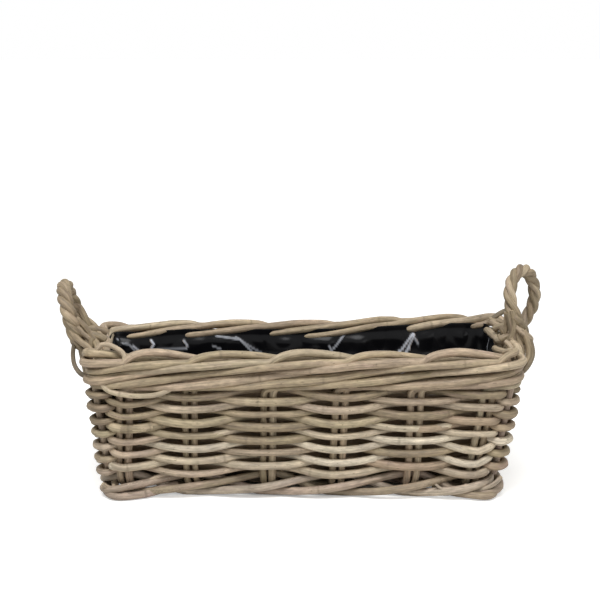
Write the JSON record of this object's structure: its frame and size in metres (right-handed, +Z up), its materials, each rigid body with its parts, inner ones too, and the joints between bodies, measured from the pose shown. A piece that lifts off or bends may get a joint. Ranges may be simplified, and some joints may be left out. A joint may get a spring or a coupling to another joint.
{
  "type": "rattan planter basket",
  "caption": "Rectangular trough basket woven from rattan on paired stakes, with a rolled border, twisted loop handles at both ends and a black plastic liner, for plants.",
  "frame": {"origin": "on the floor the basket stands on, in the middle of its length over both handles and of its width", "axes": "+X along the length towards the taller handle, +Y from the front to the rear, +Z up"},
  "size_m": [0.5736, 0.2026, 0.259],
  "materials": {
    "stake_rattan": "weathered, dull",
    "weaver_rattan": "weathered, dull",
    "foot_rattan": "weathered, dull",
    "filler_rattan": "weathered, dull",
    "handle_rattan": "weathered, dull",
    "liner_film": "glossy black film"
  },
  "bodies": {
    "root": {"base_filler_1": "filler_rattan", "base_filler_2": "filler_rattan", "base_filler_3": "filler_rattan", "base_filler_4": "filler_rattan", "base_filler_5": "filler_rattan", "base_filler_6": "filler_rattan", "corner_post_front_left": "stake_rattan", "corner_post_front_right": "stake_rattan", "corner_post_rear_left": "stake_rattan", "corner_post_rear_right": "stake_rattan", "cross_rod_1_front": "stake_rattan", "cross_rod_1_rear": "stake_rattan", "cross_rod_2_front": "stake_rattan", "cross_rod_2_rear": "stake_rattan", "cross_rod_3_front": "stake_rattan", "cross_rod_3_rear": "stake_rattan", "cross_rod_4_front": "stake_rattan", "cross_rod_4_rear": "stake_rattan", "cross_rod_5_front": "stake_rattan", "cross_rod_5_rear": "stake_rattan", "cross_rod_6_front": "stake_rattan", "cross_rod_6_rear": "stake_rattan", "foot_strand_low": "foot_rattan", "foot_strand_middle": "foot_rattan", "foot_strand_top": "foot_rattan", "handle_left_inner_strand": "handle_rattan", "handle_left_outer_strand": "handle_rattan", "handle_right_inner_strand": "handle_rattan", "handle_right_outer_strand": "handle_rattan", "liner": "liner_film", "long_rod_1_left": "stake_rattan", "long_rod_1_right": "stake_rattan", "long_rod_2_left": "stake_rattan", "long_rod_2_right": "stake_rattan", "long_rod_3_left": "stake_rattan", "long_rod_3_right": "stake_rattan", "weaver_row_01": "weaver_rattan", "weaver_row_02": "weaver_rattan", "weaver_row_03": "weaver_rattan", "weaver_row_04": "weaver_rattan", "weaver_row_05": "weaver_rattan", "weaver_row_06": "weaver_rattan", "weaver_row_07": "weaver_rattan", "weaver_row_08": "weaver_rattan", "weaver_row_09": "weaver_rattan", "weaver_row_10": "weaver_rattan", "weaver_row_11": "weaver_rattan", "weaver_row_12": "weaver_rattan", "weaver_row_13": "weaver_rattan"}
  },
  "joints": []
}
